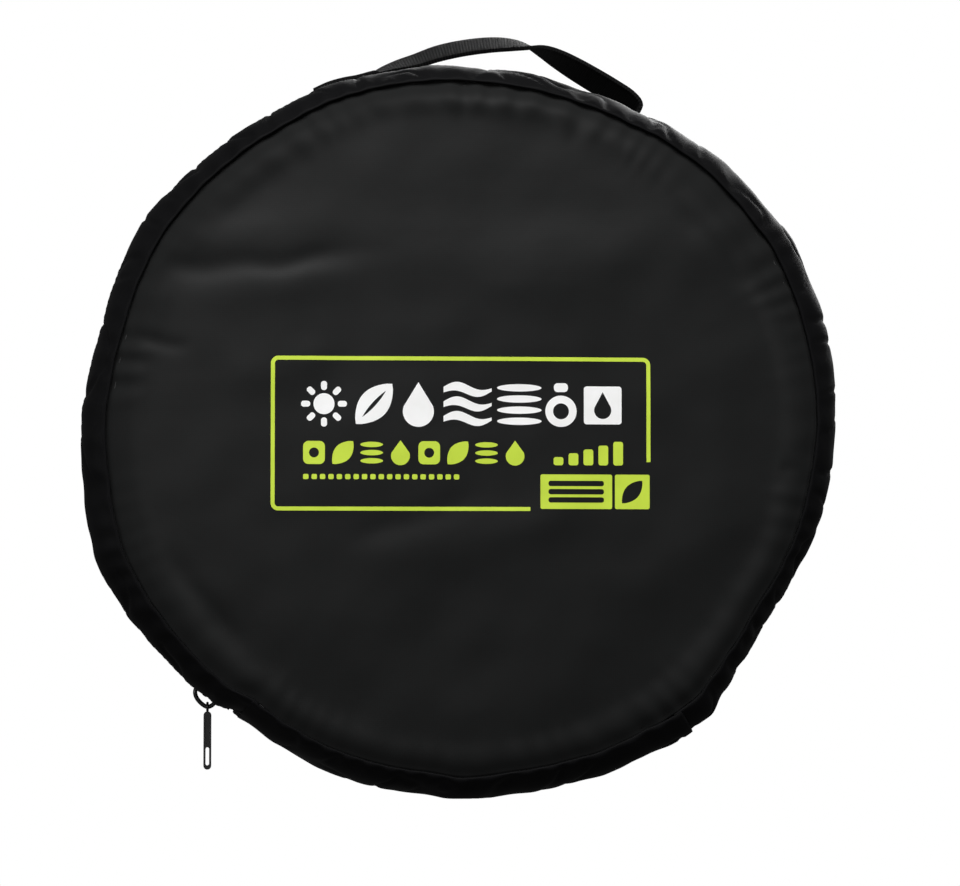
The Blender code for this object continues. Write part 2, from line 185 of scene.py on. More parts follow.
def hexColour(code):
    channels = [int(code[i:i + 2], 16) / 255 for i in (1, 3, 5)]
    linear = [c / 12.92 if c <= 0.04045 else ((c + 0.055) / 1.055) ** 2.4 for c in channels]
    return (*linear, 1)


def addNode(tree, kind, inputs=None, **settings):
    node = tree.nodes.new(kind)
    for name, value in settings.items():
        setattr(node, name, value)
    for name, value in (inputs or {}).items():
        if isinstance(value, bpy.types.NodeSocket):
            tree.links.new(value, node.inputs[name])
        else:
            node.inputs[name].default_value = value
    return node


def newMaterial(name, **shader):
    material = bpy.data.materials.new(name)
    material.use_nodes = True
    tree = material.node_tree
    tree.nodes.clear()
    output = addNode(tree, "ShaderNodeOutputMaterial")
    surface = addNode(tree, "ShaderNodeBsdfPrincipled", shader)
    tree.links.new(surface.outputs[0], output.inputs[0])
    return material, tree, surface


def clothPlace(tree):
    return addNode(tree, "ShaderNodeAttribute", attribute_name="cloth").outputs["Vector"]


def objectPlace(tree):
    return addNode(tree, "ShaderNodeTexCoord").outputs["Object"]


def wovenHeight(tree, place, pitch):
    # warp and weft as two sets of ridges, one thread apart
    waveScale = math.tau / 20 / pitch
    warp = addNode(tree, "ShaderNodeTexWave", {"Vector": place, "Scale": waveScale, "Distortion": 0.4},
                   bands_direction="X")
    weft = addNode(tree, "ShaderNodeTexWave", {"Vector": place, "Scale": waveScale, "Distortion": 0.4},
                   bands_direction="Y")
    return addNode(tree, "ShaderNodeMath", {0: warp.outputs["Fac"], 1: weft.outputs["Fac"]},
                   operation="ADD").outputs[0]


def tonedColour(tree, place, dark, light, scale):
    cloud = addNode(tree, "ShaderNodeTexNoise", {"Vector": place, "Scale": scale, "Detail": 4.0})
    ramp = addNode(tree, "ShaderNodeValToRGB", {"Fac": cloud.outputs["Fac"]})
    ramp.color_ramp.elements[0].position = 0.3
    ramp.color_ramp.elements[0].color = hexColour(dark)
    ramp.color_ramp.elements[1].position = 0.7
    ramp.color_ramp.elements[1].color = hexColour(light)
    return ramp.outputs["Color"], cloud.outputs["Fac"]


def finish(tree, surface, **channels):
    # links a surface's patterned channels
    for name, socket in channels.items():
        tree.links.new(socket, surface.inputs[{"colour": "Base Color", "rough": "Roughness",
                                               "normal": "Normal"}[name]])


def coatedPolyester(name, dark, light, roughness, crinkle, gloss, sheen, dullEdge=0.0):
    # polyester woven from fine yarn and coated inside with polyurethane: smooth, with a soft satin sheen
    material, tree, surface = newMaterial(name, **{"Sheen Weight": sheen, "Sheen Roughness": 0.45,
                                                   "Specular IOR Level": gloss, "IOR": 1.5})
    place = clothPlace(tree)
    colour, cloud = tonedColour(tree, place, dark, light, 14)
    rough = addNode(tree, "ShaderNodeMapRange", {"Value": cloud, "To Min": roughness - 0.05,
                                                 "To Max": roughness + 0.07}).outputs[0]
    if dullEdge:
        # gathered against the seam, the cloth is creased too finely to draw, which dulls it
        spread = addNode(tree, "ShaderNodeVectorMath", {0: place}, operation="LENGTH").outputs["Value"]
        dull = addNode(tree, "ShaderNodeMapRange", {"Value": spread, "From Min": seamRadius - 17 * mm,
                                                    "From Max": seamRadius - 6 * mm, "To Max": dullEdge},
                       interpolation_type="SMOOTHSTEP").outputs[0]
        rough = addNode(tree, "ShaderNodeMath", {0: rough, 1: dull}, operation="ADD").outputs[0]
    creases = addNode(tree, "ShaderNodeTexNoise", {"Vector": place, "Scale": 95, "Detail": 5.0})
    soft = addNode(tree, "ShaderNodeBump", {"Height": creases.outputs["Fac"], "Strength": crinkle,
                                            "Distance": 0.8 * mm})
    weave = wovenHeight(tree, place, 0.8 * mm)  # the real yarns are 0.2 mm apart, too fine to show
    threads = addNode(tree, "ShaderNodeBump", {"Height": weave, "Strength": 0.10, "Distance": 0.05 * mm,
                                               "Normal": soft.outputs[0]})
    finish(tree, surface, colour=colour, rough=rough, normal=threads.outputs[0])
    return material


def wovenBand(name, dark, light, pitch, depth, roughness=0.62, gloss=0.35, sheen=0.1):
    # polypropylene or polyester tape woven with a coarse rib: matt, with painted highlight on the ribs and
    # painted shade in the hollows between them
    material, tree, surface = newMaterial(name, **{"Sheen Weight": sheen, "Sheen Roughness": 0.4,
                                                   "Specular IOR Level": gloss, "Roughness": roughness})
    place = clothPlace(tree)
    colour, _ = tonedColour(tree, place, dark, light, 60)
    weave = wovenHeight(tree, place, pitch)
    bump = addNode(tree, "ShaderNodeBump", {"Height": weave, "Strength": 0.75, "Distance": depth})
    # painted light and shade: the tape's colour is lightened on the weave's ribs and darkened in its
    # hollows
    shade = addNode(tree, "ShaderNodeMapRange", {"Value": weave, "From Max": 2.0, "To Min": 0.72,
                                                 "To Max": 1.15})
    tone = addNode(tree, "ShaderNodeVectorMath", {0: colour, 1: shade.outputs[0]}, operation="MULTIPLY")
    finish(tree, surface, colour=tone.outputs[0], normal=bump.outputs[0])
    return material


def mouldedNylon(name, colour, roughness=0.38):
    # nylon filament and thread: smooth and a little glossy
    material, tree, surface = newMaterial(name, **{"Base Color": hexColour(colour), "Roughness": roughness,
                                                   "IOR": 1.53})
    grain = addNode(tree, "ShaderNodeTexNoise", {"Vector": objectPlace(tree), "Scale": 300, "Detail": 4.0})
    bump = addNode(tree, "ShaderNodeBump", {"Height": grain.outputs["Fac"], "Strength": 0.12,
                                            "Distance": 0.05 * mm})
    finish(tree, surface, normal=bump.outputs[0])
    return material


def lacqueredZinc(name, dark, light):
    # die-cast zinc under black lacquer, rubbed a little brighter in patches
    material, tree, surface = newMaterial(name, **{"Metallic": 0.35, "Coat Weight": 0.35,
                                                   "Coat Roughness": 0.2})
    colour, cloud = tonedColour(tree, objectPlace(tree), dark, light, 260)
    rough = addNode(tree, "ShaderNodeMapRange", {"Value": cloud, "To Min": 0.26, "To Max": 0.44}).outputs[0]
    bump = addNode(tree, "ShaderNodeBump", {"Height": cloud, "Strength": 0.1, "Distance": 0.05 * mm})
    finish(tree, surface, colour=colour, rough=rough, normal=bump.outputs[0])
    return material


def drawnSteel(name):
    # zinc-plated drawn spring wire: bright, with fine grain
    material, tree, surface = newMaterial(name, **{"Metallic": 1.0})
    colour, cloud = tonedColour(tree, objectPlace(tree), "#9a9c9f", "#c9cbcd", 400)
    rough = addNode(tree, "ShaderNodeMapRange", {"Value": cloud, "To Min": 0.22, "To Max": 0.4}).outputs[0]
    finish(tree, surface, colour=colour, rough=rough)
    return material


def screenInk(name, colour, worn):
    # screen-printed plastisol ink: an opaque, slightly rubbery film with a faint orange-peel
    material, tree, surface = newMaterial(name, **{"Roughness": 0.5, "Specular IOR Level": 0.4})
    place = objectPlace(tree)
    tone, _ = tonedColour(tree, place, worn, colour, 90)
    peel = addNode(tree, "ShaderNodeTexNoise", {"Vector": place, "Scale": 1600})
    bump = addNode(tree, "ShaderNodeBump", {"Height": peel.outputs["Fac"], "Strength": 0.12,
                                            "Distance": 0.04 * mm})
    finish(tree, surface, colour=tone, normal=bump.outputs[0])
    return material


def knottedMesh(name):
    # black polyester net: little holes between knotted threads
    material, tree, surface = newMaterial(name, **{"Roughness": 0.7, "Sheen Weight": 0.25})
    place = clothPlace(tree)
    cells = addNode(tree, "ShaderNodeTexVoronoi", {"Vector": place, "Scale": 1 / (3 * mm),
                                                   "Randomness": 0.15}, feature="DISTANCE_TO_EDGE")
    ramp = addNode(tree, "ShaderNodeValToRGB", {"Fac": cells.outputs["Distance"]})
    ramp.color_ramp.elements[0].color = hexColour("#3a3a3d")
    ramp.color_ramp.elements[0].position = 0.06
    ramp.color_ramp.elements[1].color = hexColour("#0c0c0d")
    ramp.color_ramp.elements[1].position = 0.16
    bump = addNode(tree, "ShaderNodeBump", {"Height": cells.outputs["Distance"], "Strength": 0.6,
                                            "Distance": 0.5 * mm}, invert=True)
    finish(tree, surface, colour=ramp.outputs["Color"], normal=bump.outputs[0])
    return material


faceCloth = coatedPolyester("coatedPolyesterFace", "#0c0d0d", "#0f1010", 0.45, 0.10, 0.21, 0.05,
                            dullEdge=0.35)
gussetCloth = coatedPolyester("coatedPolyesterGusset", "#0c0c0d", "#101011", 0.52, 0.16, 0.045, 0.01)
tapeWeave = wovenBand("wovenPolyesterZipTape", "#0c0c0d", "#151516", 0.9 * mm, 0.12 * mm)
webbingWeave = wovenBand("wovenPolypropyleneWebbing", "#060607", "#0a0a0a", 1.3 * mm, 0.18 * mm,
                         roughness=0.7, gloss=0.09, sheen=0.01)
bindingWeave = wovenBand("wovenPolyesterBinding", "#0b0b0c", "#131314", 0.9 * mm, 0.12 * mm)
coilNylon = mouldedNylon("extrudedNylonCoil", "#101011", 0.36)
threadNylon = mouldedNylon("bondedPolyesterThread", "#151516", 0.55)
sliderZinc = lacqueredZinc("lacqueredZincCasting", "#0f0f10", "#1b1b1c")
wireSteel = drawnSteel("zincPlatedSpringWire")
whiteInk = screenInk("whitePlastisolInk", "#ffffff", "#f8f8f6")
limeInk = screenInk("limePlastisolInk", "#cfe845", "#c4dc3e")
netMesh = knottedMesh("knottedPolyesterNet")
print("materials made")


def addPiece(name, bm, material, body, nodes=(), recalc=True, sharp=None):
    if recalc:
        bmesh.ops.recalc_face_normals(bm, faces=bm.faces)
    mesh = bpy.data.meshes.new(name)
    bm.to_mesh(mesh)
    bm.free()
    mesh.shade_smooth()
    if sharp:
        mesh.set_sharp_from_angle(angle=math.radians(sharp))
    piece = bpy.data.objects.new(name, mesh)
    bpy.context.scene.collection.objects.link(piece)
    mesh.materials.append(material)
    if isinstance(body, str):
        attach(piece, body)
    if nodes:
        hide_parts(*nodes)
    return piece


def addWall(piece, thickness, offset=-1.0):
    wall = piece.modifiers.new("wall", "SOLIDIFY")
    wall.thickness = thickness
    wall.offset = offset
    wall.use_even_offset = False


def spinPoints(points, sweep, steps, closed=False):
    # a run of points, spun clockwise round the bag's axis
    bm = bmesh.new()
    row = [bm.verts.new(point) for point in points]
    edges = [bm.edges.new(pair) for pair in zip(row, row[1:] + row[:1] if closed else row[1:])]
    bmesh.ops.spin(bm, geom=row + edges, cent=(0, 0, centreZ), axis=(0, 1, 0), angle=math.radians(sweep),
                   steps=steps, use_merge=sweep == 360)
    return bm


def spinLine(depths, startAngle, sweep, steps):
    # a line across the rim, spun; each vertex keeps its depth in y
    a = math.radians(startAngle)
    x, z = math.cos(a) * seamRadius, centreZ + math.sin(a) * seamRadius
    return spinPoints([(x, y, z) for y in depths], sweep, steps)


def vertexAngle(vert):
    return math.degrees(math.atan2(vert.co.z - centreZ, vert.co.x)) % 360


def layCloth(bm, shape):
    # moves each vertex to where shape(angle, y) puts it, and notes its place on the flat cloth
    layer = bm.verts.layers.float_vector.new("cloth")
    for vert in bm.verts:
        angle = vertexAngle(vert)
        y = vert.co.y
        vert[layer] = (math.radians(angle) * seamRadius, y, 0)
        vert.co = shape(angle, y)


def between(low, high, count):
    return [low + (high - low) * i / (count - 1) for i in range(count)]


def bandSweep(sections):
    # sections of (middle, half width vector): an edge across the band, extruded from one to the next
    bm = bmesh.new()
    layer = bm.verts.layers.float_vector.new("cloth")
    middle, half = sections[0]
    ends = [bm.verts.new(middle - half), bm.verts.new(middle + half)]
    edge = bm.edges.new(ends)
    along = 0.0
    for end, side in zip(ends, (-1, 1)):
        end[layer] = (0, side * half.length, 0)
    for nextMiddle, nextHalf in sections[1:]:
        along += (nextMiddle - middle).length
        made = bmesh.ops.extrude_edge_only(bm, edges=[edge])["geom"]
        edge = next(part for part in made if isinstance(part, bmesh.types.BMEdge)
                    and all(v in made for v in part.verts))
        low, high = [v for v in made if isinstance(v, bmesh.types.BMVert)]
        if (low.co - (middle - half)).length > (low.co - (middle + half)).length:
            low, high = high, low
        low.co, high.co = nextMiddle - nextHalf, nextMiddle + nextHalf
        low[layer] = (along, -nextHalf.length, 0)
        high[layer] = (along, nextHalf.length, 0)
        middle, half = nextMiddle, nextHalf
    return bm


def curveMesh(curve, paths, cyclic):
    # fills a curve with straight runs through the paths' points, and makes it a mesh
    for path in paths:
        spline = curve.splines.new("POLY")
        spline.points.add(len(path) - 1)
        for knot, point in zip(spline.points, path):
            knot.co = (*point, 1)
        spline.use_cyclic_u = cyclic
    helper = bpy.data.objects.new("helper", curve)
    bpy.context.scene.collection.objects.link(helper)
    mesh = bpy.data.meshes.new_from_object(helper.evaluated_get(bpy.context.evaluated_depsgraph_get()))
    bpy.data.objects.remove(helper)
    bm = bmesh.new()
    bm.from_mesh(mesh)
    bpy.data.meshes.remove(mesh)
    return bm


def wireMesh(paths, radius, sides=1, cyclic=False):
    # round wires or threads through points
    curve = bpy.data.curves.new("wire", "CURVE")
    curve.dimensions = "3D"
    curve.bevel_depth = radius
    curve.bevel_resolution = sides
    curve.use_fill_caps = not cyclic
    return curveMesh(curve, paths, cyclic)


def smoothPath(points, count):
    # an even set of points on a smooth curve through a few chosen ones
    points = [Vector(p) for p in points]
    ends = [2 * points[0] - points[1], *points, 2 * points[-1] - points[-2]]
    path = []
    for i in range(count):
        t = i / (count - 1) * (len(points) - 1)
        k = min(int(t), len(points) - 2)
        t -= k
        a, b, c, d = ends[k:k + 4]
        path.append(0.5 * (2 * b + (c - a) * t + (2 * a - 5 * b + 4 * c - d) * t * t
                           + (3 * b - a - 3 * c + d) * t ** 3))
    return path


panel = {
    "dome": 3.4 * mm,
    "grid": 190,
    "grooveDepth": 2.1 * mm,
    "grooveWidth": 4.6 * mm,
    "pucker": 0.40 * mm,
    "puckers": 78,             # round the seam
    "gatherAt": 84,            # degrees: the cloth is gathered most below the handle
    "gatherHalf": 24,
    "roll": 0.55 * mm,         # the soft ridge beside the seam
    "swell": 0.9 * mm,
    "ripple": 0.35 * mm,
}

# Folds in the cloth: from and to (from the disc's middle), half width and rise, in mm; a valley is negative
frontFolds = [
    ((-143, 61), (-52, 70), 5, -0.75), ((-143, 72), (-70, 80), 9, 0.6), ((-140, 50), (-60, 58), 9, 0.5),
    ((-140, 39), (-118, 32), 3.5, -0.5), ((-40, -47), (0, -34), 6, -0.45), ((-42, -57), (46, -39), 10, 0.6),
    ((146, -46), (101, -118), 8, 1.6), ((148, -18), (136, -17), 4, -1.1),
    ((-122, -58), (-98, -88), 5, -0.7),
    ((-60, 139), (80, 134), 6, 1.0), ((20, 60), (120, 84), 14, 0.7), ((-110, -20), (-60, -90), 16, 0.6),
    ((60, -70), (118, -40), 12, 0.6), ((-20, -118), (70, -112), 12, 0.5), ((-110, 96), (-60, 122), 10, 0.6),
    ((96, 88), (120, 60), 6, -0.6), ((-96, 20), (-60, 28), 9, 0.5),
]
backFolds = [
    ((-120, 40), (-20, 62), 8, 1.0), ((-124, 26), (-40, 46), 5, -0.8), ((30, -60), (120, -84), 9, 0.9),
    ((-90, -80), (0, -98), 11, 0.8), ((40, 96), (110, 60), 10, 0.8), ((-60, -20), (40, -4), 16, 0.5),
]


def foldRise(x, z, folds):
    rise = 0.0
    for (x0, z0), (x1, z1), width, height in folds:
        dx, dz = x1 - x0, z1 - z0
        length = math.hypot(dx, dz)
        along = ((x - x0) * dx + (z - z0) * dz) / length / length
        if not -0.3 < along < 1.3:
            continue
        across = ((x - x0) * dz - (z - z0) * dx) / length
        across += 2.5 * bumps(x / 22, z / 22, 0.0, 3)
        ease = smoothStep(-0.3, 0.15, along) * (1 - smoothStep(0.85, 1.3, along))
        rise += height * ease * math.exp(-(across / width) ** 2)
    return rise * mm


def panelRise(x, z, folds, seed):
    # how far a panel stands out past its seam's plane
    angle = math.degrees(math.atan2(z, x))
    radius = math.hypot(x, z)
    edge = seamAt(angle)
    fromEdge = max(0.0, edge - radius)
    a = math.radians(angle)
    px, pz = math.cos(a) * edge, math.sin(a) * edge
    dome = panel["dome"] * (1 - (radius / edge) ** 2.6)
    roll = panel["roll"] * math.exp(-((fromEdge - 8 * mm) / (6 * mm)) ** 2)
    groove = -panel["grooveDepth"] * math.exp(-(fromEdge / panel["grooveWidth"]) ** 2)
    wander = 9 * bumps(px / 0.045, pz / 0.045, 0.0, seed)
    strength = 0.25 + 1.6 * max(0.0, bumps(px / 0.05, pz / 0.05, 7.3, seed) + 0.1)
    strength += math.exp(-(angleGap(angle, panel["gatherAt"]) / panel["gatherHalf"]) ** 2)
    reach = 1 + 0.8 * bumps(px / 0.017, pz / 0.017, 3.9, seed)
    puckers = math.sin(panel["puckers"] * a + wander + 30 * fromEdge)
    puckers *= panel["pucker"] * strength * math.exp(-((fromEdge - 4 * mm) / (8 * mm * reach)) ** 2)
    swell = panel["swell"] * bumps(x / 0.055, z / 0.055, 2.2, seed)
    swell += panel["ripple"] * bumps(x / 0.02, z / 0.02, 5.2, seed)
    swell *= smoothStep(0, 20 * mm, fromEdge)
    creases = foldRise(x / mm, z / mm, folds) * smoothStep(0, 8 * mm, fromEdge)
    return dome + roll + groove + puckers + swell + creases


def makePanel(name, node, side, folds, seed, body):
    # a square grid eased into a disc, so that the cloth has no pole in its middle
    bm = bmesh.new()
    bmesh.ops.create_grid(bm, x_segments=panel["grid"], y_segments=panel["grid"], size=1)
    layer = bm.verts.layers.float_vector.new("cloth")
    for vert in bm.verts:
        a, b = vert.co.x, vert.co.y
        x, z = a * math.sqrt(1 - b * b / 2), b * math.sqrt(1 - a * a / 2)
        edge = seamAt(math.degrees(math.atan2(z, x))) if x or z else seamRadius
        reach = math.hypot(x, z)
        size = seamRadius + (edge - seamRadius) * reach ** 3
        x, z = x * size, z * size
        vert[layer] = (x, z, 0)
        rise = panelRise(x, z, folds, seed)
        vert.co = (x, side * (seamDepth + rise), centreZ + z)
    if side > 0:
        bmesh.ops.reverse_faces(bm, faces=bm.faces)
    piece = addPiece(name, bm, faceCloth, body, [node], recalc=False)
    addWall(piece, bag["wall"], offset=-1.0)
    return piece


frontPanel = makePanel("frontPanel", "front_panel", -1, frontFolds, 1, "lid")
backPanel = makePanel("backPanel", "back_panel", 1, backFolds, 2, "bag")
print("panels made")


def gussetStrip(name, node, side, body, seed):
    depths = between(side * seamDepth, side * bag["tapeHalf"], gusset["across"])
    bm = spinLine(depths, zipStart, zipSweep, gusset["steps"])

    def shape(angle, y):
        tuck = smoothStep(bag["tapeHalf"] + 1.2 * mm, bag["tapeHalf"], abs(y)) * gusset["foldIn"]
        return rimPoint(angle, y, gussetAt(angle, y, True, seed) - tuck + gusset["lift"])

    layCloth(bm, shape)
    piece = addPiece(name, bm, gussetCloth, body, [node])
    pointOutward(piece)
    addWall(piece, bag["wall"])
    return piece


def pointOutward(piece):
    # an open strip's faces point away from the bag's axis
    mesh = piece.data
    total = 0.0
    for face in mesh.polygons:
        out = Vector((face.center.x, 0, face.center.z - centreZ))
        total += face.normal.dot(out)
    if total < 0:
        mesh.flip_normals()


def makeHingePanel():
    depths = between(-seamDepth, seamDepth, 2 * gusset["across"])
    half = bag["hingeHalfAngle"] + gusset["hingeOverlap"]
    bm = spinLine(depths, bottom + half, 2 * half, gusset["hingeSteps"])

    def shape(angle, y):
        nearZip = smoothStep(half - gusset["hingeEase"], half, angleGap(angle, bottom))
        plain = gussetAt(angle, y, False, gusset["hingeSeed"])
        zipped = gussetAt(angle, y, True, gusset["hingeSeed"])
        point = rimPoint(angle, y, plain + (zipped - plain) * nearZip + bag["wall"] * nearZip)
        point.z = max(point.z, gusset["floor"])
        return point

    layCloth(bm, shape)
    piece = addPiece("gussetHingePanel", bm, gussetCloth, None, ["gusset_hinge_panel"])
    pointOutward(piece)
    addWall(piece, bag["wall"])
    bendWithLid(piece)


def applyAll(piece):
    # makes a piece's modifiers final
    shaped = bpy.data.meshes.new_from_object(piece.evaluated_get(bpy.context.evaluated_depsgraph_get()))
    piece.modifiers.clear()
    piece.data = shaped


def bendWithLid(piece):
    applyAll(piece)
    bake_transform(piece)


gussetStrip("gussetBackStrip", "gusset_back_strip", 1, "bag", gusset["backSeed"])
bendWithLid(gussetStrip("gussetFrontStrip", "gusset_front_strip", -1, None, gusset["frontSeed"]))
makeHingePanel()
print("gusset made")


coil = {
    "pitch": 1.35 * mm,
    "width": 2.7 * mm,
    "height": 1.9 * mm,
    "wire": 0.42 * mm,
    "points": 8,
    "edge": 0.25 * mm,         # from the bag's middle
    "stagger": 0.25,           # degrees: the front loops lie between the back ones
    "sink": 0.3 * mm,
    "closedMargin": 16.8 * mm,
    "openMargin": 11 * mm,
}

tape = {
    "inner": 1.2 * mm,
    "underCloth": 2.5 * mm,    # how far it runs on behind the gusset's edge
    "pastEnd": 0.6,            # degrees
    "steps": 380,
    "across": 10,
    "coilSink": 1.0 * mm,
    "clothSink": 1.05 * mm,
    "thickness": 0.6 * mm,
}

topStitch = {
    "pitch": 3.3 * mm,
    "half": 1.15 * mm,
    "thread": 0.18 * mm,
    "endGap": 1.5,             # degrees
    # along the half stitch, and rise in mm
    "run": ((-1, -0.25), (-0.6, -0.04), (0, 0.0), (0.6, -0.04), (1, -0.25)),
}


def zipTape(name, node, side, body):
    depths = between(side * (bag["tapeHalf"] + tape["underCloth"]), side * tape["inner"], tape["across"])
    bm = spinLine(depths, zipStart + tape["pastEnd"], zipSweep + 2 * tape["pastEnd"], tape["steps"])
    seed = gusset["backSeed"] if side > 0 else gusset["frontSeed"]

    def shape(angle, y):
        underCloth = gussetAt(angle, y, True, seed) - tape["clothSink"]
        share = smoothStep(bag["coilHalf"], bag["tapeHalf"] - 1 * mm, abs(y))
        return rimPoint(angle, y, (zipAt(angle) - tape["coilSink"]) * (1 - share) + underCloth * share)

    layCloth(bm, shape)
    piece = addPiece(name, bm, tapeWeave, body, [node])
    pointOutward(piece)
    addWall(piece, tape["thickness"])
    return piece


def coilRow(name, node, side, body):
    # one filament wound in a flattened spiral and sewn along the tape's edge
    start = zipStart - math.degrees(coil["closedMargin"] / zipRadius)
    sweep = zipSweep - math.degrees((coil["closedMargin"] + coil["openMargin"]) / zipRadius)
    turns = int(math.radians(sweep) * zipRadius / coil["pitch"])
    path = []
    for i in range(turns * coil["points"]):
        share = i / (turns * coil["points"])
        phase = math.tau * i / coil["points"]
        angle = start - sweep * share - (0 if side > 0 else coil["stagger"])
        across = side * (coil["width"] / 2 + coil["edge"] - coil["width"] / 2 * math.cos(phase))
        level = zipAt(angle) - coil["sink"] + coil["height"] / 2 * math.sin(phase)
        path.append(rimPoint(angle, across, level))
    bm = wireMesh([path], coil["wire"], sides=1)
    return addPiece(name, bm, coilNylon, body, [node])


def stitchLine(name, side, body, seed):
    # topstitching beside the zip: short runs of thread that dip into the cloth
    paths = []
    y = side * (bag["tapeHalf"] + gusset["stitchInset"])
    sweep = zipSweep - 2 * topStitch["endGap"]
    reach = math.degrees(topStitch["half"] / crestRadius)
    count = int(math.radians(sweep) * crestRadius / topStitch["pitch"])
    for i in range(count):
        run = []
        for share, rise in topStitch["run"]:
            a = zipStart - topStitch["endGap"] - sweep * i / count + share * reach
            run.append(rimPoint(a, y, gussetAt(a, y, True, seed) + gusset["lift"] + rise * mm))
        paths.append(run)
    threads = wireMesh(paths, topStitch["thread"], sides=0)
    return addPiece(name, threads, threadNylon, body, ())


zipTape("zipTapeBack", "zip_tape_back", 1, "bag")
bendWithLid(zipTape("zipTapeFront", "zip_tape_front", -1, None))
coilRow("zipCoilBack", "zip_coil_back", 1, "bag")
bendWithLid(coilRow("zipCoilFront", "zip_coil_front", -1, None))
stitchLine("zipStitchingBack", 1, "bag", gusset["backSeed"])
bendWithLid(stitchLine("zipStitchingFront", -1, None, gusset["frontSeed"]))
print("zip made")

handle = {
    "width": 21 * mm,
    "thickness": 1.7 * mm,
    "depth": 17 * mm,
    "leftAnchor": (113.0, 110.5, 108, 105.5),
    "rightAnchor": (60.0, 57.5, 55, 51.5),
    "lift": 1.3 * mm,
    "points": 96,
    "softEdge": 0.4 * mm,
    "bend": (1 * mm, 10 * mm),  # the webbing bends this far above the fold's axis
    "boxes": ((112.2, 106.2), (60.0, 52.5)),
    "boxHalf": 7.5 * mm,
    "stitch": 2.4 * mm,
    "thread": 0.22 * mm,
    # the loose part: x and height from the disc's middle, and how far the back edge leans outward, in mm
    "loop": [(-33, 154.0, 2.0), (-25, 156.9, 3.2), (-17, 159.2, 4.0), (-8, 162.4, 4.5), (2, 164.8, 4.6),
             (13, 166.4, 4.5), (22, 166.8, 4.0), (30, 166.2, 2.6), (37, 164.4, 0.0), (44, 161.0, -1.7),
             (52, 156.5, -2.6), (60, 151.9, -2.9), (68, 147.2, -2.9), (75, 142.8, -2.6),
             (78.8, 138.8, -1.5)],
}


def jointNamed(name):
    return next(joint for joint in frame["record"]["behaviour"]["joints"] if joint["name"] == name)


def onGusset(angle, depth, lift):
    return rimPoint(angle, depth, gussetAt(angle, depth, True, gusset["backSeed"]) + gusset["lift"] + lift)


def handleSections():
    # the sewn ends slope with the gusset, and the loose part leans as its points say
    depth, halfWidth = handle["depth"], handle["width"] / 2
    middles = [(onGusset(a, depth, handle["lift"]), 0.0) for a in handle["leftAnchor"]]
    middles += [(Vector((x * mm, depth, centreZ + z * mm)), lean * mm) for x, z, lean in handle["loop"]]
    middles += [(onGusset(a, depth, handle["lift"]), 0.0) for a in handle["rightAnchor"]]
    path = smoothPath([p for p, _ in middles], handle["points"])
    leans = smoothPath([(lean, 0, 0) for _, lean in middles], handle["points"])
    sections = []
    for i, point in enumerate(path):
        out = Vector((point.x, 0, point.z - centreZ)).normalized()
        sewn = not 16 < i < 80
        slope = -0.156 * smoothStep(6 * mm, 0, abs(leans[i].x)) if sewn else 0.0
        half = Vector((0, 1, 0)) * halfWidth + out * (leans[i].x + slope * halfWidth)
        sections.append((point, half.normalized() * halfWidth))
    return sections


def makeHandle():
    bm = bandSweep(handleSections())
    across = [edge for edge in bm.edges
              if abs((edge.verts[0].co - edge.verts[1].co).y) > handle["width"] / 2]
    bmesh.ops.subdivide_edges(bm, edges=across, cuts=5, use_grid_fill=True)
    piece = addPiece("handleWebbing", bm, webbingWeave, None,
                     ["handle_webbing", "handle_anchor_left", "handle_anchor_right"])
    pointOutward(piece)
    addWall(piece, handle["thickness"], offset=0.0)
    edge = piece.modifiers.new("softEdge", "BEVEL")
    edge.width = handle["softEdge"]
    edge.segments = 2
    applyAll(piece)
    fold = jointNamed("handle_fold")
    axisPoint = Vector(fold["pos_m"])
    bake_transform(piece)


def boxStitch(angle, towards):
    # the webbing's end is held by a sewn box with a cross in it
    low, high = handle["depth"] - handle["boxHalf"], handle["depth"] + handle["boxHalf"]
    lift = handle["lift"] + handle["thickness"] / 2
    corners = [(angle, low), (angle, high), (towards, high), (towards, low), (angle, low), (towards, high),
               (towards, low), (angle, high)]
    paths = []
    for (a0, y0), (a1, y1) in zip(corners, corners[1:]):
        length = math.hypot(math.radians(a1 - a0) * crestRadius, y1 - y0)
        count = max(2, round(length / handle["stitch"]))
        for i in range(count):
            run = []
            for share, rise in ((0.12, -0.1), (0.3, 0.16), (0.7, 0.16), (0.88, -0.1)):
                t = (i + share) / count
                run.append(onGusset(a0 + (a1 - a0) * t, y0 + (y1 - y0) * t, lift + rise * mm))
            paths.append(run)
    return paths


makeHandle()
boxes = [path for ends in handle["boxes"] for path in boxStitch(*ends)]
addPiece("handleStitching", wireMesh(boxes, handle["thread"], sides=0), threadNylon, "bag", ())
print("handle made")


slider = {
    "length": 10 * mm,
    "width": 9 * mm,
    "tail": 6.6 * mm,
    "bailWire": 0.92 * mm,
    "plate": 1.05 * mm,
    "flange": 0.8 * mm,
    "flangeHeight": 1.0 * mm,
    "outer": 0.9 * mm,         # under side of the outer plate, from the zip's level
    "inner": -2.3 * mm,        # upper side of the inner plate
    "post": (1.9 * mm, 1.8 * mm),
    "postAt": (-4.0 * mm, -1.3 * mm),
    "lug": (1.5 * mm, 2.6 * mm, 1.0 * mm),
    "lugAt": 4.5 * mm,
    "plateEdge": 0.42 * mm,
    "smallEdge": 0.3 * mm,
    "flangeEdge": 0.2 * mm,
}


def onZip(angle, level):
    # from upright at nought to standing on the rim at an angle, this far from the bag's axis
    turn = Matrix.Rotation(math.radians(90 - angle), 4, "Y")
    return Matrix.Translation((0, 0, centreZ)) @ turn @ Matrix.Translation((0, 0, level))


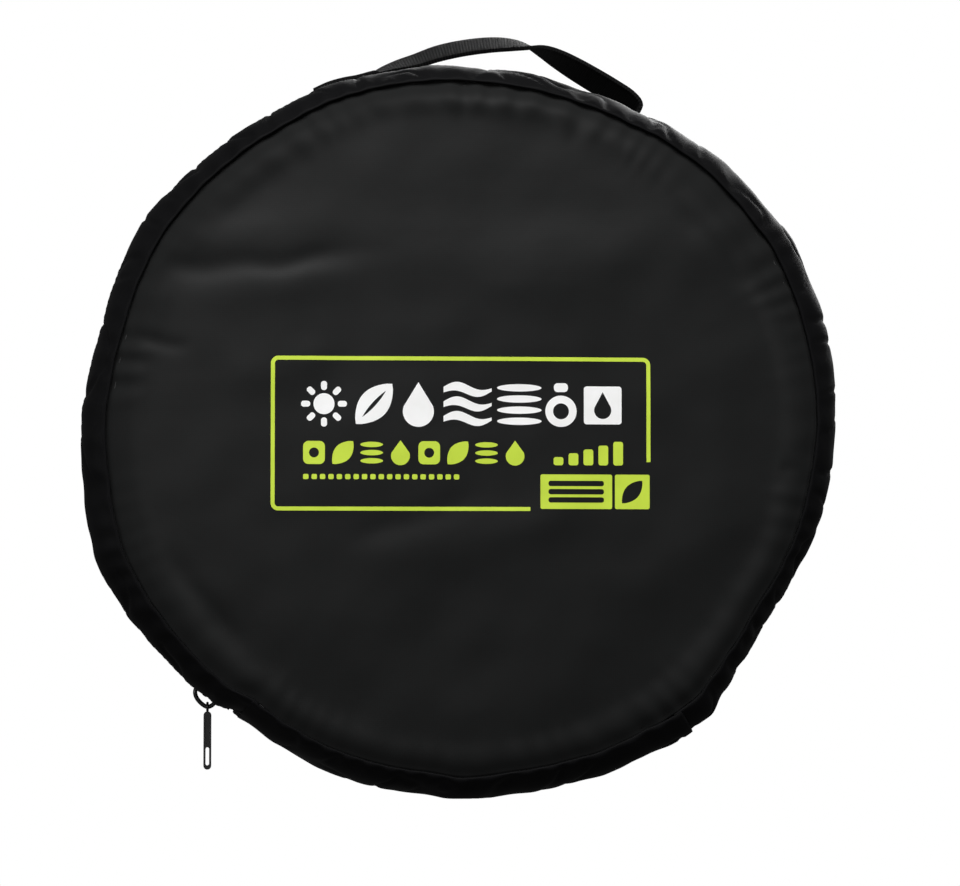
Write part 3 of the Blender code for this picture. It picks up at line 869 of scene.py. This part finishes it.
def roundedBlock(size, centre, bevel, taper=1.0, segments=2):
    bm = bmesh.new()
    bmesh.ops.create_cube(bm, size=1, matrix=Matrix.Translation(centre) @ Matrix.Diagonal((*size, 1)))
    for vert in bm.verts:
        if vert.co.x > centre[0]:
            vert.co.y *= taper
    bmesh.ops.bevel(bm, geom=bm.edges[:], offset=bevel, segments=segments, affect="EDGES", profile=0.5,
                    material=-1)
    return bm


def joined(parts):
    whole = bmesh.new()
    for part in parts:
        mesh = bpy.data.meshes.new("part")
        part.to_mesh(mesh)
        part.free()
        whole.from_mesh(mesh)
        bpy.data.meshes.remove(mesh)
    return whole


def makeSlider():
    # two tapered plates round the coils, with side flanges and a crown that the bail sits on
    taper = slider["tail"] / slider["width"]
    plateSize = (slider["length"], slider["width"], slider["plate"])
    outerZ = slider["outer"] + slider["plate"] / 2
    innerZ = slider["inner"] - slider["plate"] / 2
    parts = [roundedBlock(plateSize, (0, 0, z), slider["plateEdge"], taper, 3) for z in (outerZ, innerZ)]
    for z, way in ((outerZ, -1), (innerZ, 1)):
        for side in (-1, 1):
            size = (slider["length"] * 0.62, slider["flange"], slider["flangeHeight"])
            centre = (0.6 * mm, side * (slider["width"] / 2 - 0.95 * mm), z + way * 0.55 * mm)
            parts.append(roundedBlock(size, centre, slider["flangeEdge"]))
    parts.append(roundedBlock((*slider["post"], outerZ - innerZ),
                              (*slider["postAt"], (outerZ + innerZ) / 2), slider["smallEdge"]))
    for x in (-slider["lugAt"], slider["lugAt"]):
        parts.append(roundedBlock(slider["lug"], (x, 0, outerZ + 0.75 * mm), slider["smallEdge"]))
    bm = joined(parts)
    bmesh.ops.transform(bm, matrix=onZip(bag["sliderAngle"], zipRadius), verts=bm.verts)
    addPiece("sliderBody", bm, sliderZinc, "slider", ["slider_body"], recalc=False)


def makeBail():
    # a low arch of cast wire along the slider, which the puller's eye hangs on
    place = onZip(bag["sliderAngle"], zipRadius)
    hang = place.inverted() @ Vector(jointNamed("puller_swing")["pos_m"])
    path = [(-4.7 * mm, 0, 1.3 * mm), (-5.0 * mm, 0, 3.4 * mm), hang, (-1.6 * mm, 0, hang.z + 0.7 * mm),
            (1.4 * mm, 0, hang.z + 0.5 * mm), (3.7 * mm, 0, hang.z - 0.6 * mm), (4.9 * mm, 0, 3.0 * mm),
            (4.6 * mm, 0, 1.3 * mm)]
    bm = wireMesh([[place @ point for point in smoothPath(path, 40)]], slider["bailWire"], sides=2)
    addPiece("sliderBail", bm, sliderZinc, "slider", ["slider_bail"])


puller = {
    "width": 3.3 * mm,
    "thickness": 1.9 * mm,
    "top": -1.9 * mm,
    "end": -26.4 * mm,
    "slotWidth": 1.5 * mm,
    "slot": (-17.0 * mm, -24.6 * mm),
    "recess": (-4.6 * mm, -15.4 * mm),
    "recessWidth": 1.7 * mm,
    "skin": 0.45 * mm,         # the recess's depth
    "eye": (0.55 * mm, 0.5 * mm),
    "eyeRadius": 1.68 * mm,
    "softEdge": 0.16 * mm,
    "sharpAngle": 50,
}


def arc(x, z, radius, start, sweep, steps):
    # points on part of a circle, from one angle through a sweep, in degrees
    return [(x + radius * math.cos(a), z + radius * math.sin(a))
            for a in [math.radians(start + sweep * i / steps) for i in range(steps + 1)]]


def stadium(low, high, width):
    # an upright outline with round ends, anticlockwise
    radius = width / 2
    return arc(0, low + radius, radius, 180, 180, 10) + arc(0, high - radius, radius, 0, 180, 10)


def plateFrom(outlines, thickness):
    # a flat plate in the X-Z plane, cut out by outlines of (x, z) points, the first outside the rest
    curve = bpy.data.curves.new("plate", "CURVE")
    curve.dimensions = "2D"
    curve.fill_mode = "BOTH"
    curve.extrude = thickness / 2
    bm = curveMesh(curve, [[(x, z, 0) for x, z in outline] for outline in outlines], True)
    bmesh.ops.remove_doubles(bm, verts=bm.verts, dist=1e-6)
    bmesh.ops.rotate(bm, cent=(0, 0, 0), matrix=Matrix.Rotation(math.radians(90), 3, "X"), verts=bm.verts)
    return bm


def makePuller():
    # a cast bar with a long recess and an open slot near its end, hung by a thin eye
    outer = stadium(puller["end"], puller["top"], puller["width"])
    slot = stadium(*puller["slot"][::-1], puller["slotWidth"])
    channel = stadium(*puller["recess"][::-1], puller["recessWidth"])
    parts = [plateFrom([outer, slot], puller["thickness"] - 2 * puller["skin"])]
    for side in (-1, 1):
        skin = plateFrom([outer, slot, channel], puller["skin"])
        bmesh.ops.translate(skin, verts=skin.verts,
                            vec=(0, side * (puller["thickness"] - puller["skin"]) / 2, 0))
        parts.append(skin)
    eye = bmesh.new()
    halfWidth, halfHeight = puller["eye"]
    ring = [eye.verts.new((halfWidth * math.cos(a), 0, puller["eyeRadius"] + halfHeight * math.sin(a)))
            for a in [math.tau * i / 10 for i in range(10)]]
    edges = [eye.edges.new(pair) for pair in zip(ring, ring[1:] + ring[:1])]
    bmesh.ops.spin(eye, geom=ring + edges, cent=(0, 0, 0), axis=(1, 0, 0), angle=math.tau, steps=28,
                   use_merge=True)
    bmesh.ops.recalc_face_normals(eye, faces=eye.faces)
    parts.append(eye)
    bm = joined(parts)
    bmesh.ops.translate(bm, verts=bm.verts, vec=jointNamed("puller_swing")["pos_m"])
    piece = addPiece("zipPuller", bm, sliderZinc, "puller", ["zip_puller"], recalc=False,
                     sharp=puller["sharpAngle"])
    edge = piece.modifiers.new("softEdge", "BEVEL")
    edge.width = puller["softEdge"]
    edge.segments = 2
    edge.limit_method = "ANGLE"
    edge.angle_limit = math.radians(puller["sharpAngle"])


endTab = {
    "size": (4.4 * mm, 10 * mm, 2.2 * mm),
    "edge": 0.8 * mm,
    "sink": 0.4 * mm,          # of its middle below the zip's level
}


def zipEnds():
    # a folded cloth tab over each end of the zip, sewn down, and the metal stops beside them
    for name, node, stop in (("zipEndTabLeft", "zip_end_tab_left", "zip_stop_left"),
                             ("zipEndTabRight", "zip_end_tab_right", "zip_stop_right")):
        low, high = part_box(node)
        across, up = (low[0] + high[0]) / 2, (low[2] + high[2]) / 2 - centreZ
        middle = math.degrees(math.atan2(up, across)) % 360
        bm = roundedBlock(endTab["size"], (0, 0, 0), endTab["edge"], segments=4)
        layer = bm.verts.layers.float_vector.new("cloth")
        for vert in bm.verts:
            vert[layer] = vert.co
        bmesh.ops.transform(bm, matrix=onZip(middle, zipAt(middle) - endTab["sink"]), verts=bm.verts)
        addPiece(name, bm, bindingWeave, "bag", [node], recalc=False)
        frame["nodes"][stop].data.materials[0] = sliderZinc


makeSlider()
makeBail()
makePuller()
zipEnds()
print("slider made")


artwork = {
    "scale": (0.981, 0.98),
    "shift": (-2.3, -1.5),     # mm, from the disc's middle
    "leafTurn": 48,            # degrees
    "film": 0.10 * mm,
    "gap": 0.03 * mm,          # between cloth and film
    "cut": 2.5 * mm,           # the film is cut this fine, to lie on the cloth's folds
}


def turned(points, x, z, turn):
    # points about nought, turned and moved to (x, z)
    c, s = math.cos(turn), math.sin(turn)
    return [(x + px * c - pz * s, z + px * s + pz * c) for px, pz in points]


def circle(x, z, radius, squash=1.0):
    ring = arc(0, 0, radius, 0, 360, 40)[:-1]
    return [(x + px, z + pz * squash) for px, pz in ring]


def roundedBox(x0, z0, x1, z1, radius, turn=0.0):
    right, high = (x1 - x0) / 2 - radius, (z1 - z0) / 2 - radius
    points = []
    for x, z, start in ((right, high, 0), (-right, high, 90), (-right, -high, 180), (right, -high, 270)):
        points += arc(x, z, radius, start, 90, 6)
    return turned(points, (x0 + x1) / 2, (z0 + z1) / 2, turn)


def leaf(x, z, length, width):
    # a pointed oval along its own axis
    points = []
    for side in (1, -1):
        for i in range(16):
            t = i / 16
            along = (t - 0.5) * length * side
            across = side * width / 2 * math.sin(math.pi * t) ** 0.8
            points.append((along, across))
    return turned(points, x, z, math.radians(artwork["leafTurn"]))


def drop(x, z, radius, height):
    return arc(x, z, radius, 160, 220, 24) + [(x, z + height - radius)]


def breeze(x0, x1, z, thickness, swing):
    top, bottom = [], []
    for i in range(25):
        t = i / 24
        x = x0 + (x1 - x0) * t
        level = z + swing * math.sin(math.tau * t)
        half = thickness / 2 * (0.35 + 0.65 * math.sin(math.pi * min(1.0, 0.12 + t * 0.9)))
        top.append((x, level + half))
        bottom.append((x, level - half))
    return top + bottom[::-1]


def sunShapes(x, z, radius):
    shapes = [[circle(x, z, radius * 0.46)]]
    for i in range(8):
        a = math.tau * i / 8
        cx, cz = x + radius * 0.8 * math.cos(a), z + radius * 0.8 * math.sin(a)
        half, wide = radius * 0.2, radius * 0.13
        shapes.append([roundedBox(cx - half, cz - wide, cx + half, cz + wide, wide * 0.9, a)])
    return shapes


def tierShapes(x, z0, z1, width, count):
    # hanging tiers, each a flat oval, drawn from the side
    pitch = (z1 - z0) / count
    squash = 0.66 * pitch / width
    return [[circle(x, z0 + pitch * (i + 0.5), width / 2, squash)] for i in range(count)]


def framePath(inset):
    # the frame's outline, open at the lower right, as a run of points inset from its outer edge
    x0, x1, z0, z1, r = -79.7 + inset, 82 - inset, -35.6 + inset, 30 - inset, 3.2 - inset
    run = [(x1, -14.6)]
    for x, z, start in ((x1 - r, z1 - r, 0), (x0 + r, z1 - r, 90), (x0 + r, z0 + r, 180)):
        run += arc(x, z, r, start, 90, 6)
    return run + [(30.5, z0)]


def whiteShapes():
    shapes = sunShapes(-57.2, 9.7, 9.7)
    shapes.append([leaf(-36.0, 9.7, 23, 12.5), leaf(-36.0, 9.7, 15, 1.7)])
    shapes.append([drop(-17.2, 6.6, 6.6, 19.0)])
    shapes += [[breeze(-6.5, 14.0, z, 4.0, 1.5)] for z in (15.9, 9.7, 3.5)]
    shapes += tierShapes(25.8, 0.2, 19.2, 19.0, 4)
    shapes.append([circle(43.6, 6.9, 6.7), circle(43.6, 6.9, 3.4)])
    shapes.append([roundedBox(40.6, 15.1, 46.6, 18.9, 1.6)])
    shapes.append([roundedBox(53.4, 1.4, 69.6, 17.6, 1.2), drop(61.5, 7.4, 3.7, 11.5)])
    return shapes


def limeShapes():
    shapes = [[framePath(0) + framePath(1.7)[::-1]]]
    for i in range(8):
        x = -61.4 + 12.2 * i
        kind = i % 4
        if kind == 0:
            shapes.append([roundedBox(x - 4.6, -15.9, x + 4.6, -6.1, 2.2), circle(x, -11, 2.1)])
        elif kind == 1:
            shapes.append([leaf(x, -11, 13, 7.4)])
        elif kind == 2:
            shapes += tierShapes(x, -16.2, -5.8, 9.6, 3)
        else:
            shapes.append([drop(x, -12.3, 4.0, 10.6)])
    for i in range(5):
        x = 42.5 + 6.4 * i
        shapes.append([roundedBox(x - 2.1, -16.1, x + 2.1, -12.6 + 1.65 * i, 1.0)])
    for i in range(19):
        shapes.append([roundedBox(-66 + 3.55 * i, -22.3, -66 + 3.55 * i + 2.3, -20.1, 0.6)])
    shapes.append([roundedBox(34.8, -34.7, 65.5, -20.0, 0.8)]
                  + [roundedBox(38.2, z, 62.0, z + 2.3, 1.0) for z in (-32.0, -28.5, -25.0)])
    shapes.append([roundedBox(66.7, -34.7, 81.6, -20.0, 0.8), leaf(74.1, -27.4, 13, 6.4)])
    return shapes


def printPlace(x, z):
    (scaleX, scaleZ), (shiftX, shiftZ) = artwork["scale"], artwork["shift"]
    return (scaleX * x + shiftX) * mm, (scaleZ * z + shiftZ) * mm


def makePrint(name, shapes, ink, surface):
    # flat shapes, cut into small squares and dropped on the cloth
    bm = joined([plateFrom([[printPlace(x, z) for x, z in outline] for outline in shape], 0)
                 for shape in shapes])
    xs = [v.co.x for v in bm.verts]
    zs = [v.co.z for v in bm.verts]
    for axis, low, high in (((1, 0, 0), min(xs), max(xs)), ((0, 0, 1), min(zs), max(zs))):
        for i in range(1, int((high - low) / artwork["cut"]) + 1):
            place = Vector(axis) * (low + i * artwork["cut"])
            bmesh.ops.bisect_plane(bm, geom=bm.verts[:] + bm.edges[:] + bm.faces[:], dist=1e-7,
                                   plane_co=place, plane_no=axis)
    for vert in bm.verts:
        hit, _, _, _ = surface.ray_cast(Vector((vert.co.x, -0.2, vert.co.z + centreZ)), Vector((0, 1, 0)))
        vert.co = hit - Vector((0, artwork["gap"], 0))
    bmesh.ops.recalc_face_normals(bm, faces=bm.faces)
    for face in bm.faces:
        if face.normal.y > 0:
            face.normal_flip()
    piece = addPiece(name, bm, ink, "lid", (), recalc=False)
    addWall(piece, artwork["film"], offset=1.0)
    applyAll(piece)
    piece.data.set_sharp_from_angle(angle=math.radians(35))


printSurface = BVHTree.FromObject(frontPanel, bpy.context.evaluated_depsgraph_get())
makePrint("printWhite", whiteShapes(), whiteInk, printSurface)
makePrint("printLime", limeShapes(), limeInk, printSurface)
print("print made")


net = {
    "thickness": 4.6 * mm,
    "rings": 30,
    "steps": 90,
    "gap": 0.5 * mm,           # to its hoop
    "fill": 0.3,
}


def makeNet(index):
    # a tier's net, crumpled flat inside its folded hoop
    node = f"tier_{index}_net"
    low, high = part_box(node)
    middle = (low[1] + high[1]) / 2
    reach = (high[0] - low[0]) / 2 - net["gap"]
    profile = [(-1, t) for t in between(0, 1, net["rings"])] + [(1, t) for t in between(1, 0, net["rings"])]
    bm = spinPoints([(max(t, 1e-5) * reach, middle + side * net["thickness"] / 2, centreZ)
                     for side, t in profile], 360, net["steps"])
    bmesh.ops.remove_doubles(bm, verts=bm.verts, dist=0.03 * mm)
    layer = bm.verts.layers.float_vector.new("cloth")
    for vert in bm.verts:
        x, z = vert.co.x, vert.co.z - centreZ
        vert[layer] = (x, z, 0)
        radius = math.hypot(x, z) / reach
        ridge = abs(bumps(x / 0.016, z / 0.016, index, 11))
        ridge += 0.5 * abs(bumps(x / 0.007, z / 0.007, index, 12))
        side = 1 if vert.co.y > middle else -1
        thick = net["thickness"] / 2 * (1 - 0.55 * smoothStep(0.8, 1.0, radius))
        vert.co.y = middle + side * thick * (1 - 0.75 * min(1.0, 1.6 * ridge))
    addPiece(f"tierNet{index}", bm, netMesh, "bag", [node])


seamTape = {
    # how far in from the seam and how far across, in mm
    "profile": [(0.3, -0.6), (1.4, -0.9), (5.5, -0.8), (6.6, 0.0), (5.5, 0.8), (1.4, 0.9), (0.3, 0.6)],
    "gap": (2.2, 1.6),         # mm inside the seam's radius and depth
    "lean": (0.69, 0.72),      # it stands in along this slope
    "steps": 240,
}


def makeSeamTape(name, node, side, body):
    # the seam inside is bound with folded tape that stands inward
    (gapIn, gapDeep), (leanIn, leanDeep) = seamTape["gap"], seamTape["lean"]
    bm = spinPoints([(seamRadius - (gapIn + leanIn * inward - out) * mm,
                      side * (seamDepth - (gapDeep + leanDeep * inward) * mm), centreZ)
                     for inward, out in seamTape["profile"]], 360, seamTape["steps"], closed=True)
    layer = bm.verts.layers.float_vector.new("cloth")
    for vert in bm.verts:
        angle = vertexAngle(vert)
        radius = math.hypot(vert.co.x, vert.co.z - centreZ)
        vert[layer] = (math.radians(angle) * seamRadius, radius, 0)
        vert.co = rimPoint(angle, vert.co.y, radius - seamRadius + seamAt(angle))
    addPiece(name, bm, bindingWeave, body, [node])


straps = {
    "layers": 5,
    "thickness": 1.1 * mm,
    "inset": 5 * mm,
    "foldBulge": 3 * mm,
    "points": 260,
    "tieAt": -20 * mm,         # from the bundle's middle
    "tieHalf": 6 * mm,
    "tieThickness": 0.8 * mm,
}


def makeStraps():
    # the hanging straps, folded to and fro and held by a band
    low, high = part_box("strap_bundle")
    middle = (Vector(low) + Vector(high)) / 2
    half = Vector((0, 0, (high[2] - low[2]) / 2 - 1 * mm))
    left, right = low[0] + straps["inset"], high[0] - straps["inset"]
    pitch = (high[1] - low[1] - 2.4 * mm) / (straps["layers"] - 1)
    points = []
    for i in range(straps["layers"]):
        y = low[1] + 1.2 * mm + i * pitch
        ends = (left, right) if i % 2 == 0 else (right, left)
        for t in (0.0, 0.25, 0.5, 0.75, 1.0):
            wave = 0.25 * mm * math.sin(9 * t + i)
            points.append((ends[0] + (ends[1] - ends[0]) * t, y + wave, middle.z))
        if i < straps["layers"] - 1:
            bulge = straps["foldBulge"] * (1 if i % 2 == 0 else -1)
            points.append((ends[1] + bulge, y + pitch / 2, middle.z))
    sections = [(p, half) for p in smoothPath(points, straps["points"])]
    piece = addPiece("strapBundle", bandSweep(sections), webbingWeave, "bag", ["strap_bundle"])
    addWall(piece, straps["thickness"], offset=0.0)
    tie = []
    for i in range(41):
        a = math.tau * i / 40
        y = middle.y + (high[1] - low[1] + 1.6 * mm) / 2 * max(-1, min(1, 1.5 * math.cos(a)))
        z = middle.z + (half.z + 1.2 * mm) * max(-1, min(1, 1.06 * math.sin(a)))
        tie.append((Vector((middle.x + straps["tieAt"], y, z)), Vector((straps["tieHalf"], 0, 0))))
    band = addPiece("strapTie", bandSweep(tie), bindingWeave, "bag", ())
    addWall(band, straps["tieThickness"], offset=0.0)


hoop = {
    "coils": 3,
    "bundle": 2.2 * mm,        # from the bundle's middle to each coil's
    "hem": 0.1 * mm,
    "points": 96,              # in each turn
}


def makeHoop(index):
    # a spring-steel hoop in a sewn hem, twisted into three coils that lie against each other
    node = f"tier_{index}_hoop"
    low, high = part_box(node)
    middle = (low[1] + high[1]) / 2
    thick = (high[1] - low[1]) / 2
    wire = thick - hoop["bundle"]
    ring = (high[0] - low[0]) / 2 - thick
    path = []
    for i in range(hoop["coils"] * hoop["points"]):
        turn = math.tau * i / hoop["points"]
        twist = turn / hoop["coils"] + 0.5 * index
        radius = ring + hoop["bundle"] * math.cos(twist)
        path.append((radius * math.cos(turn), middle + hoop["bundle"] * math.sin(twist),
                     centreZ + radius * math.sin(turn)))
    bm = wireMesh([path], wire + hoop["hem"], sides=2, cyclic=True)
    layer = bm.verts.layers.float_vector.new("cloth")
    for vert in bm.verts:
        turn = math.atan2(vert.co.z - centreZ, vert.co.x)
        vert[layer] = (turn * ring, (vert.co.y - middle) * 3, 0)
    addPiece(f"tierHoop{index}", bm, bindingWeave, "bag", [node])


for number in range(1, 7):
    makeNet(number)
    makeHoop(number)
makeSeamTape("seamTapeBack", "back_binding", 1, "bag")
makeSeamTape("seamTapeFront", "front_binding", -1, "lid")
makeStraps()
frame["nodes"]["hanging_hook"].data.materials[0] = wireSteel
print("inside made")


# a white backdrop, lit evenly by itself so that it throws no light on the bag
stageColour, _, _ = newMaterial("paintedBackdrop", **{
    "Roughness": 0.9, "Base Color": hexColour("#000000"), "Specular IOR Level": 0.0,
    "Emission Color": hexColour("#ffffff"), "Emission Strength": 1.0})


stage = {
    "half": 40,                # metres, as the rest
    "curveFrom": 5,
    "curveRadius": 4,
    "wallTop": 30,
}


def makeStage():
    # a wide floor that curves up far behind into a wall
    bm = bmesh.new()
    side, start, radius = -stage["half"], stage["curveFrom"], stage["curveRadius"]
    line = [(side, side, 0), (side, start, 0)]
    line += [(side, start + y, radius + z) for y, z in arc(0, 0, radius, -81, 81, 9)]
    line.append((side, start + radius, stage["wallTop"]))
    row = [bm.verts.new(p) for p in line]
    edges = [bm.edges.new(pair) for pair in zip(row, row[1:])]
    made = bmesh.ops.extrude_edge_only(bm, edges=edges)["geom"]
    moved = [part for part in made if isinstance(part, bmesh.types.BMVert)]
    bmesh.ops.translate(bm, verts=moved, vec=(-2 * side, 0, 0))
    mesh = bpy.data.meshes.new("studioFloor")
    bm.to_mesh(mesh)
    bm.free()
    mesh.shade_smooth()
    mesh.materials.append(stageColour)
    floor = bpy.data.objects.new("studioFloor", mesh)
    bpy.context.scene.collection.objects.link(floor)
    floor.visible_diffuse = False
    floor.visible_glossy = False


# where each soft light stands, what it points at, its size and its power in watts
softLights = {
    "topSoftbox": ((0.0, -1.15, 1.55), (0, 0, 0.18), (1.5, 0.9), 36),
    "frontFill": ((-0.6, -2.4, 0.8), (0, 0, 0.15), (1.6, 1.6), 9.5),
    "lowFill": ((-1.5, -0.75, 0.16), (0, 0, 0.1), (0.8, 0.25), 3.5),
    "backFill": ((0.9, 2.2, 1.3), (0, 0, 0.15), (1.8, 1.2), 50),
}
view = {
    "target": (0.0093, 0, centreZ - 0.0065),
    "distance": 1.6,
    "left": 4.6,               # degrees
    "below": 2.7,              # degrees
    "lens": 141,
}
roomLight = 0.10


def areaLight(name, place, target, size, power):
    light = bpy.data.lights.new(name, "AREA")
    light.shape = "RECTANGLE"
    light.size, light.size_y = size
    light.energy = power
    lamp = bpy.data.objects.new(name, light)
    lamp.location = place
    lamp.rotation_euler = (Vector(target) - Vector(place)).to_track_quat("-Z", "Y").to_euler()
    bpy.context.scene.collection.objects.link(lamp)


def makeCamera():
    across, up = math.radians(view["left"]), math.radians(view["below"])
    back = Vector((-math.sin(across) * math.cos(up), -math.cos(across) * math.cos(up), -math.sin(up)))
    lens = bpy.data.cameras.new("camera")
    lens.lens = view["lens"]
    lens.sensor_width = 36
    camera = bpy.data.objects.new("camera", lens)
    camera.location = Vector(view["target"]) + back * view["distance"]
    camera.rotation_euler = (-back).to_track_quat("-Z", "Y").to_euler()
    bpy.context.scene.collection.objects.link(camera)
    bpy.context.scene.camera = camera


makeStage()
for name, light in softLights.items():
    areaLight(name, *light)
makeCamera()
world = bpy.data.worlds.new("studio")
world.use_nodes = True
world.node_tree.nodes["Background"].inputs[0].default_value = (1, 1, 1, 1)
world.node_tree.nodes["Background"].inputs[1].default_value = roomLight
bpy.context.scene.world = world
bpy.context.scene.view_settings.view_transform = "Standard"
print("stage made")
